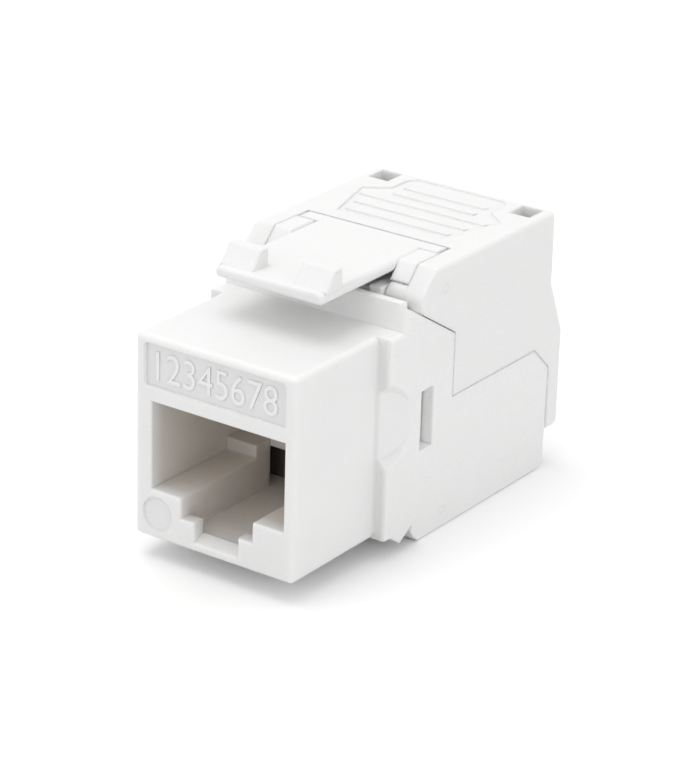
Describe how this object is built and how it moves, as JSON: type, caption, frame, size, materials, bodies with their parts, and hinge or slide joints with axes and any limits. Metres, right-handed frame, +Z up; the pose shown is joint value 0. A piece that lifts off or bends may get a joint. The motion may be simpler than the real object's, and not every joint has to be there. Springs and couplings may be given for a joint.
{
  "type": "keystone jack",
  "caption": "White snap-in keystone socket: plug port and label pocket in front, sprung release arm on top, hinged rear cap that presses wires onto fork terminals.",
  "frame": {"origin": "middle of the footprint, on the plane of the flat underside", "axes": "+Z up, +Y from the plug port towards the cable end, X across the jack"},
  "size_m": [0.0166, 0.0344, 0.0231],
  "materials": {
    "white_plastic": "fine satin moulding grain",
    "inner_plastic": "satin",
    "board": "dark solder mask",
    "gold_contact": "gold plated",
    "tinned_terminal": "tin plated"
  },
  "bodies": {
    "base": {"front_housing": "white_plastic", "terminal_block": "white_plastic", "contact_sled": "inner_plastic", "circuit_board": "board", "terminal_1": "tinned_terminal", "terminal_2": "tinned_terminal", "terminal_3": "tinned_terminal", "terminal_4": "tinned_terminal", "terminal_5": "tinned_terminal", "terminal_6": "tinned_terminal", "terminal_7": "tinned_terminal", "terminal_8": "tinned_terminal"},
    "cap": {"rear_cap": "white_plastic", "wire_organiser": "white_plastic"},
    "arm": {"latch_arm": "white_plastic"},
    "spring_1": {"contact_1": "gold_contact"},
    "spring_2": {"contact_2": "gold_contact"},
    "spring_3": {"contact_3": "gold_contact"},
    "spring_4": {"contact_4": "gold_contact"},
    "spring_5": {"contact_5": "gold_contact"},
    "spring_6": {"contact_6": "gold_contact"},
    "spring_7": {"contact_7": "gold_contact"},
    "spring_8": {"contact_8": "gold_contact"}
  },
  "joints": [
    {"name": "cap_hinge", "type": "hinge", "parent": "base", "child": "cap", "pos_m": [0, -0.00208, 0.0193], "axis": [1, 0, 0], "range_deg": [0, 90]},
    {"name": "arm_flex", "type": "hinge", "parent": "base", "child": "arm", "pos_m": [0, 0.0017, 0.02145], "axis": [1, 0, 0], "range_deg": [0, 6], "stiffness_Nm_per_rad": 0.05},
    {"name": "contact_1_flex", "type": "hinge", "parent": "base", "child": "spring_1", "pos_m": [-0.00327, -0.0043, 0.0088], "axis": [-1, 0, 0], "range_deg": [0, 8], "stiffness_Nm_per_rad": 0.002},
    {"name": "contact_2_flex", "type": "hinge", "parent": "base", "child": "spring_2", "pos_m": [-0.00225, -0.0043, 0.0088], "axis": [-1, 0, 0], "range_deg": [0, 8], "stiffness_Nm_per_rad": 0.002},
    {"name": "contact_3_flex", "type": "hinge", "parent": "base", "child": "spring_3", "pos_m": [-0.00123, -0.0043, 0.0088], "axis": [-1, 0, 0], "range_deg": [0, 8], "stiffness_Nm_per_rad": 0.002},
    {"name": "contact_4_flex", "type": "hinge", "parent": "base", "child": "spring_4", "pos_m": [-0.00021, -0.0043, 0.0088], "axis": [-1, 0, 0], "range_deg": [0, 8], "stiffness_Nm_per_rad": 0.002},
    {"name": "contact_5_flex", "type": "hinge", "parent": "base", "child": "spring_5", "pos_m": [0.00081, -0.0043, 0.0088], "axis": [-1, 0, 0], "range_deg": [0, 8], "stiffness_Nm_per_rad": 0.002},
    {"name": "contact_6_flex", "type": "hinge", "parent": "base", "child": "spring_6", "pos_m": [0.00183, -0.0043, 0.0088], "axis": [-1, 0, 0], "range_deg": [0, 8], "stiffness_Nm_per_rad": 0.002},
    {"name": "contact_7_flex", "type": "hinge", "parent": "base", "child": "spring_7", "pos_m": [0.00285, -0.0043, 0.0088], "axis": [-1, 0, 0], "range_deg": [0, 8], "stiffness_Nm_per_rad": 0.002},
    {"name": "contact_8_flex", "type": "hinge", "parent": "base", "child": "spring_8", "pos_m": [0.00387, -0.0043, 0.0088], "axis": [-1, 0, 0], "range_deg": [0, 8], "stiffness_Nm_per_rad": 0.002}
  ]
}
